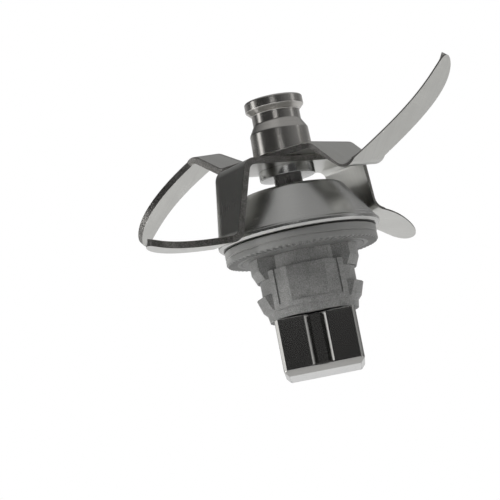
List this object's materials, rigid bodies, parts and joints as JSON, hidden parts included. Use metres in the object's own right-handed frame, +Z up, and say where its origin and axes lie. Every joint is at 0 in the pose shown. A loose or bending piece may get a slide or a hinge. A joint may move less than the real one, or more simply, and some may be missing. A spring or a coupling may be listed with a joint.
{
  "type": "blender blade unit",
  "caption": "Drop-in blade unit for a cooking blender jug: crossed folded blades on a bearing housing with a conical steel cover, seal and grooved square drive coupling.",
  "frame": {"origin": "centre of the drive coupling's flat foot, on the shaft's axis", "axes": "+Z up the shaft towards the cap nut; +X to the right and +Y away from the viewer, square to the picture's line of sight"},
  "size_m": [0.1095, 0.0794, 0.0918],
  "materials": {
    "blade_steel": "satin rolled sheet with ground cutting edges",
    "cap_steel": "turned and polished",
    "cover_steel": "spun and brushed",
    "spacer_steel": "turned",
    "coupling_plating": "polished plating",
    "shaft_steel": "ground",
    "bearing_steel": "ground and polished",
    "dark_steel": "blackened",
    "cast_alloy": "dark as-cast, finely speckled",
    "seal_rubber": "moulded",
    "lip_rubber": "moulded",
    "cage_plastic": "moulded"
  },
  "bodies": {
    "housing": {"bearing_housing": "cast_alloy", "lower_outer_ring": "bearing_steel", "upper_outer_ring": "bearing_steel", "retaining_ring": "dark_steel", "wave_washer": "dark_steel", "shaft_seal": "lip_rubber", "seal_ring": "seal_rubber", "cover_oring": "lip_rubber", "cone_cover": "cover_steel"},
    "rotor": {"drive_coupling": "coupling_plating", "drive_shaft": "shaft_steel", "lower_sleeve": "shaft_steel", "middle_sleeve": "shaft_steel", "lower_inner_ring": "bearing_steel", "upper_inner_ring": "bearing_steel", "knurled_collar": "dark_steel", "hub_spacer": "spacer_steel", "lower_blade": "blade_steel", "upper_blade": "blade_steel", "cap_nut": "cap_steel"},
    "lower_ball_set": {"lower_balls": "bearing_steel", "lower_cage": "cage_plastic"},
    "upper_ball_set": {"upper_balls": "bearing_steel", "upper_cage": "cage_plastic"}
  },
  "joints": [
    {"name": "rotor_spin", "type": "hinge", "parent": "housing", "child": "rotor", "pos_m": [0, 0, 0], "axis": [0, 0, 1], "continuous": true},
    {"name": "lower_ball_travel", "type": "hinge", "parent": "housing", "child": "lower_ball_set", "pos_m": [0, 0, 0.0262], "axis": [0, 0, 1], "continuous": true},
    {"name": "upper_ball_travel", "type": "hinge", "parent": "housing", "child": "upper_ball_set", "pos_m": [0, 0, 0.0482], "axis": [0, 0, 1], "continuous": true}
  ]
}
